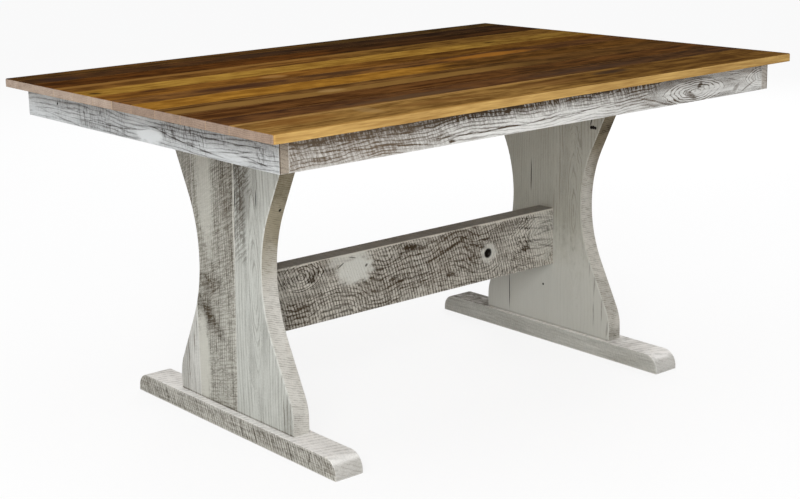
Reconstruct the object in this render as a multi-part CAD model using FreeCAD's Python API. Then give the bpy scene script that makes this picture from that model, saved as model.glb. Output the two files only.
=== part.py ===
import FreeCAD, Part
import math
import os

# Trestle dining table in glued-up and rough-sawn boards, in millimetres.
# The origin is on the floor under the middle of the top.
# X runs along the table, Y across it (the front is at -Y) and Z up.

Vector = FreeCAD.Vector
ALONG_X = Vector(1, 0, 0)
ALONG_Y = Vector(0, 1, 0)
UP = Vector(0, 0, 1)
DOWN = Vector(0, 0, -1)

# ---------------------------------------------------------------- driving sizes
# Top: edge-glued planks of uneven width, listed from the front edge to the back one.
table_height = 775.0
top_length = 1524.0
top_thickness = 19.0
plank_widths = (142.0, 80.0, 90.0, 94.0, 92.0, 78.0, 80.0, 87.0, 88.0, 95.0, 75.0, 66.0)
top_corner_radius = 6.0
top_rim_radius = 3.0
top_under_radius = 1.2
seam_bevel = 0.5

# Aprons: the two end boards run the full width and cover the ends of the long ones.
top_overhang = 38.0
apron_height = 66.0
apron_thickness = 22.0
apron_arris = 1.0
corner_block_leg = 60.0
corner_block_height = 44.0
batten_size = 25.0
batten_end_gap = 0.6

# Trestles: a foot on the floor, a waisted panel on it and a head cleat under the top.
trestle_inset = 227.0
foot_length = 780.0
foot_width = 73.0
foot_height = 44.0
foot_end_radius = 36.0
foot_arris = 2.5
head_cleat_height = 44.0
head_cleat_end_gap = 0.6
head_cleat_arris = 2.0
panel_thickness = 44.0
panel_setback = 18.0
panel_bevel = 1.8
shoulder_width = 443.0
shoulder_rise = 34.0
shoulder_radius = 105.0
waist_width = 244.0
waist_radius = 330.0
flare_angle = 26.5

# Boards of a panel: the main seam leans, because the boards taper; the wing seam is upright.
main_seam_bottom_y = -10.0
main_seam_top_y = -38.0
wing_seam_y = 138.0

# Stretcher: one board on edge, with a stub tenon at each end.
stretcher_thickness = 52.0
stretcher_height = 149.0
stretcher_top = 359.0
stretcher_arris = 2.5
stub_tenon_length = 25.0
stub_tenon_thickness = 20.0
stub_tenon_shoulder = 20.0
knot_hole_x = 241.0
knot_hole_drop = 79.0
knot_hole_radius = 10.5
knot_hole_floor_radius = 6.0
knot_hole_depth = 20.0

# Loose tenons between a panel and its foot or head cleat.
loose_tenon_thickness = 12.0
loose_tenon_height = 50.0
foot_tenons = ((-165.0, 60.0), (35.0, 50.0), (180.0, 44.0))
head_tenons = ((-175.0, 60.0), (20.0, 50.0), (190.0, 50.0))

# Lag screws that pull a foot or head cleat to its panel.
lag_radius = 4.0
lag_length = 100.0
lag_tip_length = 10.0
lag_head_flats = 13.0
lag_head_height = 5.5
washer_radius = 11.0
washer_thickness = 1.6
lag_recess_radius = 14.0
lag_recess_depth = 12.0
foot_lag_y = (-95.0, 95.0)
head_lag_y = (-100.0, 82.0)

# Dowels.
panel_dowel_radius = 5.0
panel_dowel_length = 50.0
main_seam_dowels_over_foot = (66.0, 136.0)
main_seam_dowels_over_stretcher = (41.0, 121.0)
main_seam_dowels_under_head = (142.0, 62.0)
wing_seam_dowels_over_foot = (56.0, 116.0)
wing_seam_dowels_under_head = (112.0, 42.0)
plank_dowel_radius = 4.0
plank_dowel_length = 30.0
plank_dowel_count = 5
plank_dowel_margin = 110.0
apron_dowel_radius = 4.0
apron_dowel_in_end = 12.0
apron_dowel_in_side = 28.0
apron_dowel_inset = 15.0

# Wood screws, all of one gauge.
screw_radius = 2.2
screw_head_radius = 4.4
screw_head_height = 2.6
screw_tip_length = 5.0
screw_slot_width = 1.0
screw_slot_depth = 1.2
screw_bite_in_top = 12.0
screw_bite_in_apron = 14.0
cleat_screw_recess = 12.0
least_plank_overlap = 34.0
batten_screw_count = 4
batten_screw_margin = 60.0
batten_screw_offset = 40.0
end_batten_screw_count = 3
end_batten_screw_margin = 80.0
batten_screw_recess = 3.2
block_screw_inset = 20.0
block_screw_seat = 25.0
block_screw_low = 12.0
block_screw_high = 32.0

# Clearances.
joint_clearance = 0.15
hole_clearance = 0.15
recess_clearance = 0.6
beyond = 5.0
same_place = 1e-4

# ---------------------------------------------------------------- dependent sizes
top_width = sum(plank_widths)
half_length = top_length / 2
half_width = top_width / 2
top_underside = table_height - top_thickness
apron_outer_x = half_length - top_overhang
apron_outer_y = half_width - top_overhang
apron_inner_x = apron_outer_x - apron_thickness
apron_inner_y = apron_outer_y - apron_thickness
apron_bottom = top_underside - apron_height
foot_outer_x = half_length - trestle_inset
foot_inner_x = foot_outer_x - foot_width
panel_outer_x = foot_outer_x - panel_setback
panel_inner_x = panel_outer_x - panel_thickness
panel_middle_x = (panel_outer_x + panel_inner_x) / 2
panel_top = top_underside - head_cleat_height
cleat_screw_x = (foot_outer_x + panel_outer_x) / 2
head_cleat_half_length = apron_inner_y - head_cleat_end_gap
screw_hole_radius = screw_radius + hole_clearance
screw_recess_radius = screw_head_radius + recess_clearance
stretcher_bottom = stretcher_top - stretcher_height


# ---------------------------------------------------------------- shapes in general
def box(low, high):
    """A box between two corners."""
    size = high - low
    return Part.makeBox(size.x, size.y, size.z, low)


def rod(start, direction, radius, length):
    return Part.makeCylinder(radius, length, start, direction)


def placed(shape, point, direction):
    """A copy of a shape drawn along +Z from the origin, moved to a point and turned to a direction."""
    copy = shape.copy()
    copy.Placement = FreeCAD.Placement(point, FreeCAD.Rotation(UP, direction))
    return copy


def cut_all(shape, voids):
    """The shape without those voids that reach into it."""
    reaching = [void for void in voids if void.BoundBox.intersect(shape.BoundBox)]
    return shape.cut(reaching) if reaching else shape


def whole(shape):
    """The bare solid of a boolean's result, or a group where there are several."""
    return shape.Solids[0] if len(shape.Solids) == 1 else Part.makeCompound(shape.Solids)


def edges_where(shape, test):
    """The edges whose every vertex passes the test."""
    return [edge for edge in shape.Edges if all(test(vertex.Point) for vertex in edge.Vertexes)]


def same(a, b):
    """Whether two coordinates agree to well under any gap in the model."""
    return abs(a - b) < same_place


def along(count, margin, half):
    """Evenly spaced places on a run of the given half length."""
    reach = half - margin
    return [-reach + 2 * reach * step / (count - 1) for step in range(count)]


def prism_along_x(outline, x_low, x_high):
    """A prism with a closed (y, z) polygon as its section."""
    points = [Vector(x_low, y, z) for y, z in outline]
    face = Part.Face(Part.makePolygon(points + points[:1]))
    return face.extrude(Vector(x_high - x_low, 0, 0))


# ---------------------------------------------------------------- fasteners
def wood_screw(length):
    """A pan-head wood screw: the seat of its head is at the origin and its point is up."""
    shank_length = length - screw_tip_length
    shank = rod(Vector(0, 0, 0), UP, screw_radius, shank_length)
    tip = Part.makeCone(screw_radius, screw_radius / 4, screw_tip_length, Vector(0, 0, shank_length))
    head = rod(Vector(0, 0, -screw_head_height), UP, screw_head_radius, screw_head_height)
    screw = shank.fuse([tip, head])
    half_slot = screw_slot_width / 2
    for reach_x, reach_y in ((screw_radius, half_slot), (half_slot, screw_radius)):
        low = Vector(-reach_x, -reach_y, -screw_head_height - beyond)
        high = Vector(reach_x, reach_y, -screw_head_height + screw_slot_depth)
        screw = screw.cut(box(low, high))
    return whole(screw)


def screw_hole(length, recess_depth):
    """The room for a wood screw, with a recess of the given depth for its head."""
    shank = rod(Vector(0, 0, 0), UP, screw_hole_radius, length + hole_clearance)
    recess = rod(Vector(0, 0, -recess_depth - beyond), UP, screw_recess_radius, recess_depth + beyond)
    return shank.fuse(recess)


def lag_screw():
    """A hex-head lag screw: its washer's seat is at the origin and its point is up."""
    shank = rod(Vector(0, 0, -washer_thickness), UP, lag_radius, lag_length - lag_tip_length)
    tip_start = lag_length - lag_tip_length - washer_thickness
    tip = Part.makeCone(lag_radius, lag_radius / 4, lag_tip_length, Vector(0, 0, tip_start))
    corner = lag_head_flats / 2 / math.cos(math.pi / 6)
    ring = [math.pi / 3 * side for side in range(7)]
    base = -washer_thickness - lag_head_height
    points = [Vector(corner * math.cos(turn), corner * math.sin(turn), base) for turn in ring]
    head = Part.Face(Part.makePolygon(points)).extrude(Vector(0, 0, lag_head_height))
    return whole(shank.fuse([tip, head]))


def lag_washer():
    plate = rod(Vector(0, 0, -washer_thickness), UP, washer_radius, washer_thickness)
    hole_start = Vector(0, 0, -washer_thickness - beyond)
    hole = rod(hole_start, UP, lag_radius + hole_clearance, washer_thickness + 2 * beyond)
    return plate.cut(hole)


def lag_hole():
    """The room for a lag screw, its washer and a socket on its head."""
    shank = rod(Vector(0, 0, -beyond), UP, lag_radius + hole_clearance, beyond + lag_length)
    recess = rod(Vector(0, 0, -lag_recess_depth - beyond), UP, lag_recess_radius, lag_recess_depth + beyond)
    return shank.fuse(recess)


# ---------------------------------------------------------------- top
def plank_edges_y():
    """The Y of each seam, with the front and back edges of the top."""
    places = [-half_width]
    for width in plank_widths:
        places.append(places[-1] + width)
    return places


def top_blank():
    """The whole top before it is divided, with rounded corners and both its rims eased."""
    low = Vector(-half_length, -half_width, top_underside)
    blank = box(low, Vector(half_length, half_width, table_height))
    corners = [edge for edge in blank.Edges if same(edge.Length, top_thickness)]
    blank = blank.makeFillet(top_corner_radius, corners)
    upper_rim = edges_where(blank, lambda point: same(point.z, table_height))
    blank = blank.makeFillet(top_rim_radius, upper_rim)
    lower_rim = edges_where(blank, lambda point: same(point.z, top_underside))
    return blank.makeFillet(top_under_radius, lower_rim)


def plank_section(front_y, back_y, is_first, is_last):
    """A plank's (y, z) section: bevelled beside a seam, and past the blank at the edge of the top."""
    low = top_underside - beyond
    high = table_height + beyond
    front = [(front_y, low), (front_y, table_height - seam_bevel), (front_y + seam_bevel, table_height)]
    back = [(back_y - seam_bevel, table_height), (back_y, table_height - seam_bevel), (back_y, low)]
    if is_first:
        front = [(front_y - beyond, low), (front_y - beyond, high)]
        back = [(back_y - seam_bevel, high)] + back
    if is_last:
        back = [(back_y + beyond, high), (back_y + beyond, low)]
        front = front + [(front_y + seam_bevel, high)]
    if not is_first and not is_last:
        front = front + [(front_y + seam_bevel, high)]
        back = [(back_y - seam_bevel, high)] + back
    return front + back


def plank_dowel_places():
    """The start of each dowel across a seam of the top."""
    z = top_underside + top_thickness / 2
    places = []
    for seam_y in plank_edges_y()[1:-1]:
        for x in along(plank_dowel_count, plank_dowel_margin, half_length):
            places.append(Vector(x, seam_y - plank_dowel_length / 2, z))
    return places


def make_planks(voids):
    blank = top_blank()
    seams = plank_edges_y()
    planks = []
    for index in range(len(plank_widths)):
        section = plank_section(seams[index], seams[index + 1], index == 0, index == len(plank_widths) - 1)
        tool = prism_along_x(section, -half_length - beyond, half_length + beyond)
        planks.append(whole(cut_all(blank.common(tool), voids)))
    return planks


# ---------------------------------------------------------------- aprons, corner blocks and battens
def eased_board(low, high, radius, test):
    """A board with the chosen arrises rounded."""
    board = box(low, high)
    return board.makeFillet(radius, edges_where(board, test))


def make_aprons(voids):
    """The four apron boards by name."""
    boards = {}
    for name, side in (("left", -1), ("right", 1)):
        x_low, x_high = sorted((side * apron_inner_x, side * apron_outer_x))
        low = Vector(x_low, -apron_outer_y, apron_bottom)
        high = Vector(x_high, apron_outer_y, top_underside)

        def shows(point):
            on_outer_face = same(abs(point.x), apron_outer_x)
            return same(point.z, apron_bottom) or on_outer_face and same(abs(point.y), apron_outer_y)

        boards[name + "_apron"] = eased_board(low, high, apron_arris, shows)
    for name, side in (("front", -1), ("back", 1)):
        y_low, y_high = sorted((side * apron_inner_y, side * apron_outer_y))
        low = Vector(-apron_inner_x, y_low, apron_bottom)
        high = Vector(apron_inner_x, y_high, top_underside)
        board = box(low, high)
        long_edges = [
            edge
            for edge in edges_where(board, lambda point: same(point.z, apron_bottom))
            if same(edge.Vertexes[0].Y, edge.Vertexes[1].Y)
        ]
        boards[name + "_apron"] = board.makeFillet(apron_arris, long_edges)
    return {name: whole(cut_all(board, voids)) for name, board in boards.items()}


def apron_dowel_places():
    """The start of each dowel between an end apron and a long one, with its direction."""
    middle_y = (apron_inner_y + apron_outer_y) / 2
    places = []
    for side_x in (-1, 1):
        for side_y in (-1, 1):
            for z in (apron_bottom + apron_dowel_inset, top_underside - apron_dowel_inset):
                start = Vector(side_x * (apron_inner_x - apron_dowel_in_side), side_y * middle_y, z)
                places.append((start, ALONG_X * side_x))
    return places


def block_screws():
    """Each corner block's two screws: the seat of the head and the direction."""
    places = []
    for side_x in (-1, 1):
        for side_y in (-1, 1):
            low = top_underside - corner_block_height
            seat_x = side_x * (apron_inner_x - block_screw_seat)
            seat_y = side_y * (apron_inner_y - block_screw_seat)
            into_end = Vector(seat_x, side_y * (apron_inner_y - block_screw_inset), low + block_screw_high)
            into_side = Vector(side_x * (apron_inner_x - block_screw_inset), seat_y, low + block_screw_low)
            places.append((into_end, ALONG_X * side_x))
            places.append((into_side, ALONG_Y * side_y))
    return places


def make_corner_block(side_x, side_y, voids):
    low = top_underside - corner_block_height
    corner = Vector(side_x * apron_inner_x, side_y * apron_inner_y, low)
    end_leg = ALONG_X * side_x * corner_block_leg
    side_leg = ALONG_Y * side_y * corner_block_leg
    points = [corner, corner - end_leg, corner - side_leg, corner]
    block = Part.Face(Part.makePolygon(points)).extrude(Vector(0, 0, corner_block_height))
    return whole(cut_all(block, voids))


def batten_boxes():
    """The four battens by name: low corner, high corner."""
    low_z = top_underside - batten_size
    half_run = foot_inner_x - batten_end_gap
    half_end_run = apron_inner_y - corner_block_leg - batten_end_gap
    boxes = {}
    for name, side in (("front", -1), ("back", 1)):
        y_low, y_high = sorted((side * (apron_inner_y - batten_size), side * apron_inner_y))
        boxes[name + "_batten"] = (Vector(-half_run, y_low, low_z), Vector(half_run, y_high, top_underside))
    for name, side in (("left", -1), ("right", 1)):
        x_low, x_high = sorted((side * (apron_inner_x - batten_size), side * apron_inner_x))
        low = Vector(x_low, -half_end_run, low_z)
        boxes[name + "_batten"] = (low, Vector(x_high, half_end_run, top_underside))
    return boxes


def batten_screws():
    """Two lists of head seats and directions: the screws up into the top and those into the aprons."""
    seat_up = top_underside - batten_size + batten_screw_recess
    mid_z = top_underside - batten_size / 2
    mid_y = apron_inner_y - batten_size / 2
    mid_x = apron_inner_x - batten_size / 2
    into_top = []
    into_apron = []
    for side in (-1, 1):
        for x in along(batten_screw_count, batten_screw_margin, foot_inner_x):
            into_top.append((Vector(x, side * mid_y, seat_up), UP))
            seat_y = side * (apron_inner_y - batten_size + batten_screw_recess)
            into_apron.append((Vector(x + batten_screw_offset, seat_y, mid_z), ALONG_Y * side))
        for y in along(end_batten_screw_count, end_batten_screw_margin, apron_inner_y - corner_block_leg):
            into_top.append((Vector(side * mid_x, y, seat_up), UP))
            seat_x = side * (apron_inner_x - batten_size + batten_screw_recess)
            into_apron.append((Vector(seat_x, y + batten_screw_offset, mid_z), ALONG_X * side))
    return into_top, into_apron


# ---------------------------------------------------------------- trestles
def panel_outline():
    """The half widths and heights of the waisted outline, from the foot up to the head cleat."""
    flare = math.radians(flare_angle)
    shoulder_half = shoulder_width / 2
    waist_half = waist_width / 2
    turn_z = foot_height + shoulder_rise
    arc_end_half = shoulder_half - shoulder_radius * (1 - math.cos(flare))
    arc_end = Vector(0, arc_end_half, turn_z + shoulder_radius * math.sin(flare))
    waist_start_half = waist_half + waist_radius * (1 - math.cos(flare))
    waist_start_z = arc_end.z + (arc_end.y - waist_start_half) / math.tan(flare)
    waist_z = waist_start_z + waist_radius * math.sin(flare)
    waist_end_z = waist_z + waist_radius * math.sin(flare)
    half_turn = flare / 2
    return {
        "foot": Vector(0, shoulder_half, foot_height),
        "turn": Vector(0, shoulder_half, turn_z),
        "turn_middle": Vector(
            0,
            shoulder_half - shoulder_radius * (1 - math.cos(half_turn)),
            turn_z + shoulder_radius * math.sin(half_turn),
        ),
        "turn_end": arc_end,
        "waist_start": Vector(0, waist_start_half, waist_start_z),
        "waist": Vector(0, waist_half, waist_z),
        "waist_end": Vector(0, waist_start_half, waist_end_z),
        "head": Vector(0, waist_start_half + (panel_top - waist_end_z) * math.tan(flare), panel_top),
    }


def panel_blank():
    """The whole panel before it is divided into boards, against the plane x = 0 and growing along +X."""
    p = panel_outline()
    m = {name: Vector(0, -point.y, point.z) for name, point in p.items()}
    edges = []
    for side in (p, m):
        edges += [
            Part.LineSegment(side["foot"], side["turn"]),
            Part.Arc(side["turn"], side["turn_middle"], side["turn_end"]),
            Part.LineSegment(side["turn_end"], side["waist_start"]),
            Part.Arc(side["waist_start"], side["waist"], side["waist_end"]),
            Part.LineSegment(side["waist_end"], side["head"]),
        ]
    edges += [Part.LineSegment(p["head"], m["head"]), Part.LineSegment(m["foot"], p["foot"])]
    shapes = Part.sortEdges([edge.toShape() for edge in edges])[0]
    blank = Part.Face(Part.Wire(shapes)).extrude(Vector(panel_thickness, 0, 0))
    on_face = []
    for edge in blank.Edges:
        ends = [vertex.Point for vertex in edge.Vertexes]
        flat = same(ends[0].x, ends[-1].x)
        level = same(ends[0].z, ends[-1].z)
        if flat and not level:
            on_face.append(edge)
    return blank.makeChamfer(panel_bevel, on_face)


def main_seam_y(z):
    share = (z - foot_height) / (panel_top - foot_height)
    return main_seam_bottom_y + (main_seam_top_y - main_seam_bottom_y) * share


def panel_sections():
    """The (y, z) regions that divide a panel into its boards, by name."""
    far = foot_length
    low = foot_height - beyond
    high = panel_top + beyond
    waist_z = panel_outline()["waist"].z
    seam_low = (main_seam_y(low), low)
    seam_high = (main_seam_y(high), high)
    return {
        "wide_board": [(-far, low), seam_low, seam_high, (-far, high)],
        "middle_board": [seam_low, (wing_seam_y, low), (wing_seam_y, high), seam_high],
        "upper_wing": [(wing_seam_y, waist_z), (far, waist_z), (far, high), (wing_seam_y, high)],
        "lower_wing": [(wing_seam_y, low), (far, low), (far, waist_z), (wing_seam_y, waist_z)],
    }


def panel_dowel_places(side):
    """The start of each dowel across the seams of one panel."""
    x = side * panel_middle_x
    main_heights = [foot_height + rise for rise in main_seam_dowels_over_foot]
    main_heights += [stretcher_top + rise for rise in main_seam_dowels_over_stretcher]
    main_heights += [panel_top - drop for drop in main_seam_dowels_under_head]
    wing_heights = [foot_height + rise for rise in wing_seam_dowels_over_foot]
    wing_heights += [panel_top - drop for drop in wing_seam_dowels_under_head]
    places = [Vector(x, main_seam_y(z) - panel_dowel_length / 2, z) for z in main_heights]
    return places + [Vector(x, wing_seam_y - panel_dowel_length / 2, z) for z in wing_heights]


def loose_tenon(side, middle_y, width, joint_z, clearance):
    """A loose tenon across the joint at a height, or its mortise when there is a clearance."""
    half = Vector(loose_tenon_thickness / 2, width / 2, loose_tenon_height / 2)
    half = half + Vector(clearance, clearance, clearance)
    middle = Vector(side * panel_middle_x, middle_y, joint_z)
    return box(middle - half, middle + half)


def loose_tenons(tenons, joint_z, clearance):
    return [loose_tenon(side, y, width, joint_z, clearance) for side in (-1, 1) for y, width in tenons]


def foot_lags():
    """The seat and direction of each lag screw that comes up through a foot."""
    return [(Vector(side * panel_middle_x, y, lag_recess_depth), UP) for side in (-1, 1) for y in foot_lag_y]


def head_lags():
    """The seat and direction of each lag screw that goes down through a head cleat."""
    z = top_underside - lag_recess_depth
    return [(Vector(side * panel_middle_x, y, z), DOWN) for side in (-1, 1) for y in head_lag_y]


def cleat_screws():
    """The head seat and direction of each screw up through a head cleat, one for each plank over it."""
    seat_z = top_underside - head_cleat_height + cleat_screw_recess
    seams = plank_edges_y()
    places = []
    for side in (-1, 1):
        for front_y, back_y in zip(seams, seams[1:]):
            start = max(front_y, -head_cleat_half_length)
            end = min(back_y, head_cleat_half_length)
            if end - start > least_plank_overlap:
                places.append((Vector(side * cleat_screw_x, (start + end) / 2, seat_z), UP))
    return places


def make_foot(side, voids):
    """A foot runner whose upper ends are rounded over."""
    half = foot_length / 2
    spring = foot_height - foot_end_radius
    corner = foot_end_radius * math.sin(math.pi / 4)
    inner = half - foot_end_radius
    x_low = min(side * foot_inner_x, side * foot_outer_x)

    def at(y, z):
        return Vector(x_low, y, z)

    edges = [
        Part.LineSegment(at(-half, 0), at(half, 0)),
        Part.LineSegment(at(half, 0), at(half, spring)),
        Part.Arc(at(half, spring), at(inner + corner, spring + corner), at(inner, foot_height)),
        Part.LineSegment(at(inner, foot_height), at(-inner, foot_height)),
        Part.Arc(at(-inner, foot_height), at(-inner - corner, spring + corner), at(-half, spring)),
        Part.LineSegment(at(-half, spring), at(-half, 0)),
    ]
    wire = Part.Wire([edge.toShape() for edge in edges])
    foot = Part.Face(wire).extrude(Vector(foot_width, 0, 0))
    arrises = []
    for edge in foot.Edges:
        ends = [vertex.Point for vertex in edge.Vertexes]
        in_side_plane = same(ends[0].x, ends[-1].x)
        on_floor = all(same(point.z, 0) for point in ends)
        if in_side_plane and not on_floor:
            arrises.append(edge)
    return whole(cut_all(foot.makeFillet(foot_arris, arrises), voids))


def make_head_cleat(side, voids):
    x_low, x_high = sorted((side * foot_inner_x, side * foot_outer_x))
    low = Vector(x_low, -head_cleat_half_length, panel_top)
    high = Vector(x_high, head_cleat_half_length, top_underside)
    cleat = box(low, high)
    lower_edges = edges_where(cleat, lambda point: same(point.z, panel_top))
    end_edges = [edge for edge in lower_edges if same(edge.Vertexes[0].Y, edge.Vertexes[1].Y)]
    return whole(cut_all(cleat.makeFillet(head_cleat_arris, end_edges), voids))


def make_panel_boards(side, voids):
    """The boards of one panel by name. The right panel mirrors the left one."""
    blank = panel_blank()
    blank.translate(Vector(min(side * panel_inner_x, side * panel_outer_x), 0, 0))
    boards = {}
    for name, section in panel_sections().items():
        tool = prism_along_x(section, -half_length, half_length)
        boards[name] = whole(cut_all(blank.common(tool), voids))
    return boards


# ---------------------------------------------------------------- stretcher
def stub_tenon(side, clearance):
    """A tenon on the stretcher's end, or its mortise when there is a clearance."""
    reach = panel_inner_x + stub_tenon_length + clearance
    x_low, x_high = sorted((side * (panel_inner_x - clearance), side * reach))
    half_y = stub_tenon_thickness / 2 + clearance
    low_z = stretcher_bottom + stub_tenon_shoulder - clearance
    high_z = stretcher_top - stub_tenon_shoulder + clearance
    return box(Vector(x_low, -half_y, low_z), Vector(x_high, half_y, high_z))


def make_stretcher():
    """The stretcher, with its two stub tenons and the open knot in its front face."""
    half = stretcher_thickness / 2
    low = Vector(-panel_inner_x, -half, stretcher_bottom)
    high = Vector(panel_inner_x, half, stretcher_top)
    board = box(low, high)
    long_edges = [edge for edge in board.Edges if not same(edge.Vertexes[0].X, edge.Vertexes[1].X)]
    board = board.makeFillet(stretcher_arris, long_edges)
    board = board.fuse([stub_tenon(-1, 0), stub_tenon(1, 0)]).removeSplitter()
    mouth = Vector(knot_hole_x, -half, stretcher_top - knot_hole_drop)
    knot = Part.makeCone(knot_hole_radius, knot_hole_floor_radius, knot_hole_depth, mouth, ALONG_Y)
    return whole(board.cut(knot))


# ---------------------------------------------------------------- assembly
def screws_and_holes(places, length, recess_depth):
    """The wood screws at these seats and the holes that they need."""
    screw = wood_screw(length)
    hole = screw_hole(length, recess_depth)
    screws = [placed(screw, seat, direction) for seat, direction in places]
    holes = [placed(hole, seat, direction) for seat, direction in places]
    return screws, holes


def dowels_and_holes(places, direction, radius, length):
    """The dowels from these starts and the holes that they need."""
    dowels = [rod(start, direction, radius, length) for start in places]
    slack = direction * hole_clearance
    hole_radius = radius + hole_clearance
    hole_length = length + 2 * hole_clearance
    holes = [rod(start - slack, direction, hole_radius, hole_length) for start in places]
    return dowels, holes


def make_table():
    """All nodes of the table by name."""
    up_screws, apron_screws = batten_screws()
    cleat_screw_length = head_cleat_height - cleat_screw_recess + screw_bite_in_top
    top_screw_length = batten_size - batten_screw_recess + screw_bite_in_top
    apron_screw_length = batten_size - batten_screw_recess + screw_bite_in_apron
    block_screw_length = block_screw_seat + screw_bite_in_apron

    cleat_fixings, cleat_holes = screws_and_holes(cleat_screws(), cleat_screw_length, cleat_screw_recess)
    top_fixings, top_holes = screws_and_holes(up_screws, top_screw_length, batten_screw_recess)
    side_fixings, side_holes = screws_and_holes(apron_screws, apron_screw_length, batten_screw_recess)
    block_fixings, block_holes = screws_and_holes(block_screws(), block_screw_length, corner_block_leg)

    lag = lag_screw()
    washer = lag_washer()
    lag_room = lag_hole()
    foot_lag_rooms = [placed(lag_room, seat, direction) for seat, direction in foot_lags()]
    head_lag_rooms = [placed(lag_room, seat, direction) for seat, direction in head_lags()]

    plank_dowels, plank_dowel_holes = dowels_and_holes(
        plank_dowel_places(), ALONG_Y, plank_dowel_radius, plank_dowel_length
    )
    panel_dowel_starts = panel_dowel_places(-1) + panel_dowel_places(1)
    panel_dowels, panel_dowel_holes = dowels_and_holes(
        panel_dowel_starts, ALONG_Y, panel_dowel_radius, panel_dowel_length
    )
    apron_dowels = []
    apron_dowel_holes = []
    for start, direction in apron_dowel_places():
        dowel, hole = dowels_and_holes(
            [start], direction, apron_dowel_radius, apron_dowel_in_side + apron_dowel_in_end
        )
        apron_dowels += dowel
        apron_dowel_holes += hole

    foot_mortises = loose_tenons(foot_tenons, foot_height, joint_clearance)
    head_mortises = loose_tenons(head_tenons, panel_top, joint_clearance)
    stretcher_mortises = [stub_tenon(-1, joint_clearance), stub_tenon(1, joint_clearance)]

    nodes = {}
    for index, plank in enumerate(make_planks(plank_dowel_holes + cleat_holes + top_holes), start=1):
        nodes["top_plank_%02d" % index] = plank
    nodes.update(make_aprons(apron_dowel_holes + side_holes + block_holes))
    for name_x, side_x in (("left", -1), ("right", 1)):
        for name_y, side_y in (("front", -1), ("back", 1)):
            nodes["corner_block_%s_%s" % (name_y, name_x)] = make_corner_block(side_x, side_y, block_holes)
    for name, (low, high) in batten_boxes().items():
        nodes[name] = whole(cut_all(box(low, high), top_holes + side_holes))
    panel_voids = foot_mortises + head_mortises + stretcher_mortises
    panel_voids += panel_dowel_holes + foot_lag_rooms + head_lag_rooms
    for name, side in (("left", -1), ("right", 1)):
        nodes[name + "_foot"] = make_foot(side, foot_mortises + foot_lag_rooms)
        nodes[name + "_head_cleat"] = make_head_cleat(side, head_mortises + head_lag_rooms + cleat_holes)
        for board_name, board in make_panel_boards(side, panel_voids).items():
            nodes["%s_panel_%s" % (name, board_name)] = board
    nodes["stretcher"] = make_stretcher()

    groups = {
        "plank_dowels": plank_dowels,
        "panel_dowels": panel_dowels,
        "apron_dowels": apron_dowels,
        "foot_loose_tenons": loose_tenons(foot_tenons, foot_height, 0),
        "head_loose_tenons": loose_tenons(head_tenons, panel_top, 0),
        "foot_lag_screws": [placed(lag, seat, direction) for seat, direction in foot_lags()],
        "foot_lag_washers": [placed(washer, seat, direction) for seat, direction in foot_lags()],
        "head_lag_screws": [placed(lag, seat, direction) for seat, direction in head_lags()],
        "head_lag_washers": [placed(washer, seat, direction) for seat, direction in head_lags()],
        "head_cleat_screws": cleat_fixings,
        "batten_top_screws": top_fixings,
        "batten_apron_screws": side_fixings,
        "corner_block_screws": block_fixings,
    }
    for name, solids in groups.items():
        nodes[name] = Part.makeCompound(solids)
    return nodes


os.makedirs("parts", exist_ok=True)
for node_name, node_shape in make_table().items():
    node_shape.exportStep("parts/%s.step" % node_name)
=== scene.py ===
import math

import bpy
from mathutils import Matrix, Vector


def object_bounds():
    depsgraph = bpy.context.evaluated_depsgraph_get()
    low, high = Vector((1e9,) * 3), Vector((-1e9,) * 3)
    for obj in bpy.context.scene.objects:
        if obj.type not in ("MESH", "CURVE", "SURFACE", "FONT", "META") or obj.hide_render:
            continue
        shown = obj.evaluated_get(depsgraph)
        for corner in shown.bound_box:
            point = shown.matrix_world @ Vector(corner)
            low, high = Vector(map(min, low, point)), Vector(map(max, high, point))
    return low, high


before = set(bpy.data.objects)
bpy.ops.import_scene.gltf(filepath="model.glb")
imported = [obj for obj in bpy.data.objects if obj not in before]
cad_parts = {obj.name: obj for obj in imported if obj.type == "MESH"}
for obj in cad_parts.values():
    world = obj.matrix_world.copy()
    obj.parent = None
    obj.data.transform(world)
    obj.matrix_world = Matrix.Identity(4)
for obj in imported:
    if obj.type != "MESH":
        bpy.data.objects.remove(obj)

# A trestle dining table: a varnished top of reclaimed planks on rough-sawn boards washed grey-white.
# Lengths are in metres and angles in degrees. X runs along the table, Y across it and Z up.
# Colours are named as they look (sRGB, 0 to 255) and turned into linear ones by tone().
# The numbers that noises are multiplied by, and the limits in rise(), are weights without a unit.

cad_low, cad_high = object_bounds()

# ---------------------------------------------------------------- camera
image_width = 800
image_height = 499
focal_pixels = 1558.06
axis_pixel = (372.0, 200.0)
camera_place = Vector((-2.3575, -2.7899, 1.2641))
camera_yaw = 38.887
camera_pitch = -12.531
camera_roll = -1.3166
sensor_width = 36.0


def make_camera():
    """The camera at the picture's viewing angle. Yaw turns from +Y towards +X."""
    yaw, pitch, roll = (math.radians(angle) for angle in (camera_yaw, camera_pitch, camera_roll))
    ahead = Vector((math.sin(yaw) * math.cos(pitch), math.cos(yaw) * math.cos(pitch), math.sin(pitch)))
    level = Vector((math.cos(yaw), -math.sin(yaw), 0))
    upright = level.cross(ahead)
    right = level * math.cos(roll) + upright * math.sin(roll)
    up = upright * math.cos(roll) - level * math.sin(roll)
    turned = Matrix((right, up, -ahead)).transposed().to_4x4()
    camera = bpy.data.objects.new("camera", bpy.data.cameras.new("camera"))
    camera.matrix_world = Matrix.Translation(camera_place) @ turned
    camera.data.sensor_width = sensor_width
    camera.data.lens = focal_pixels * sensor_width / image_width
    camera.data.shift_x = (image_width / 2 - axis_pixel[0]) / image_width
    camera.data.shift_y = (axis_pixel[1] - image_height / 2) / image_width
    bpy.context.scene.collection.objects.link(camera)
    bpy.context.scene.camera = camera


make_camera()


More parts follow.
